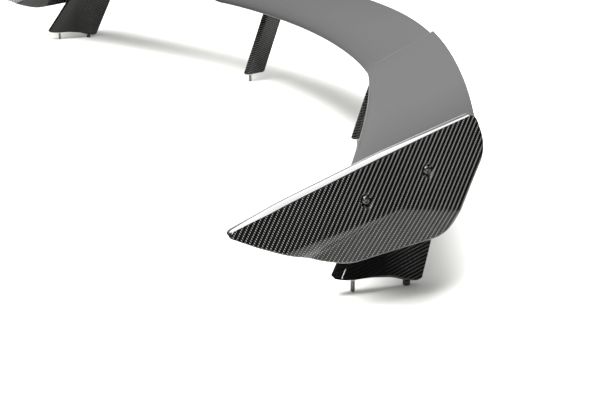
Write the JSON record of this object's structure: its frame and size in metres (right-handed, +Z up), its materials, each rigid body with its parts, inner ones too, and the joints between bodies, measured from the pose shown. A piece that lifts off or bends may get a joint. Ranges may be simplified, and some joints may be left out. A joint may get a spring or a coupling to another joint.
{
  "type": "racing rear wing",
  "caption": "Wide bowed carbon rear wing on upright airfoil struts with threaded mounting studs, closed at each end by a creased, screwed-on carbon endplate.",
  "frame": {"origin": "under the middle of the wing, centred front to back, level with the tips of the studs and pegs", "axes": "+X along the span towards the car's right side, +Y towards the front of the car, +Z up"},
  "size_m": [1.785, 0.5235, 0.1821],
  "materials": {
    "wing_carbon": "satin clear coat over fine carbon weave",
    "endplate_carbon": "gloss clear coat over 2x2 twill carbon",
    "strut_carbon": "gloss clear coat over 2x2 twill carbon",
    "foam": "closed-cell structural foam, unpainted",
    "aluminium": "machined",
    "steel": "zinc plated, threaded",
    "washer": "plain nylon",
    "peg": "black moulded",
    "brass": "turned"
  },
  "bodies": {
    "root": {"wing_upper_skin": "wing_carbon", "wing_lower_skin": "wing_carbon", "wing_core_left": "foam", "wing_core_centre": "foam", "wing_core_right": "foam", "left_end_rib": "aluminium", "right_end_rib": "aluminium", "left_outer_hardpoint": "aluminium", "left_inner_hardpoint": "aluminium", "right_inner_hardpoint": "aluminium", "right_outer_hardpoint": "aluminium", "left_outer_strut": "strut_carbon", "left_inner_strut": "strut_carbon", "right_inner_strut": "strut_carbon", "right_outer_strut": "strut_carbon", "left_outer_spine": "aluminium", "left_inner_spine": "aluminium", "right_inner_spine": "aluminium", "right_outer_spine": "aluminium", "left_outer_stud": "steel", "left_inner_stud": "steel", "right_inner_stud": "steel", "right_outer_stud": "steel", "left_outer_washer": "washer", "left_inner_washer": "washer", "right_inner_washer": "washer", "right_outer_washer": "washer", "left_locating_peg": "peg", "right_locating_peg": "peg", "left_endplate_skin": "endplate_carbon", "left_endplate_core": "foam", "left_endplate_back": "endplate_carbon", "left_endplate_bushes": "endplate_carbon", "left_endplate_screws": "steel", "left_endplate_inserts": "brass", "right_endplate_skin": "endplate_carbon", "right_endplate_core": "foam", "right_endplate_back": "endplate_carbon", "right_endplate_bushes": "endplate_carbon", "right_endplate_screws": "steel", "right_endplate_inserts": "brass"}
  },
  "joints": []
}
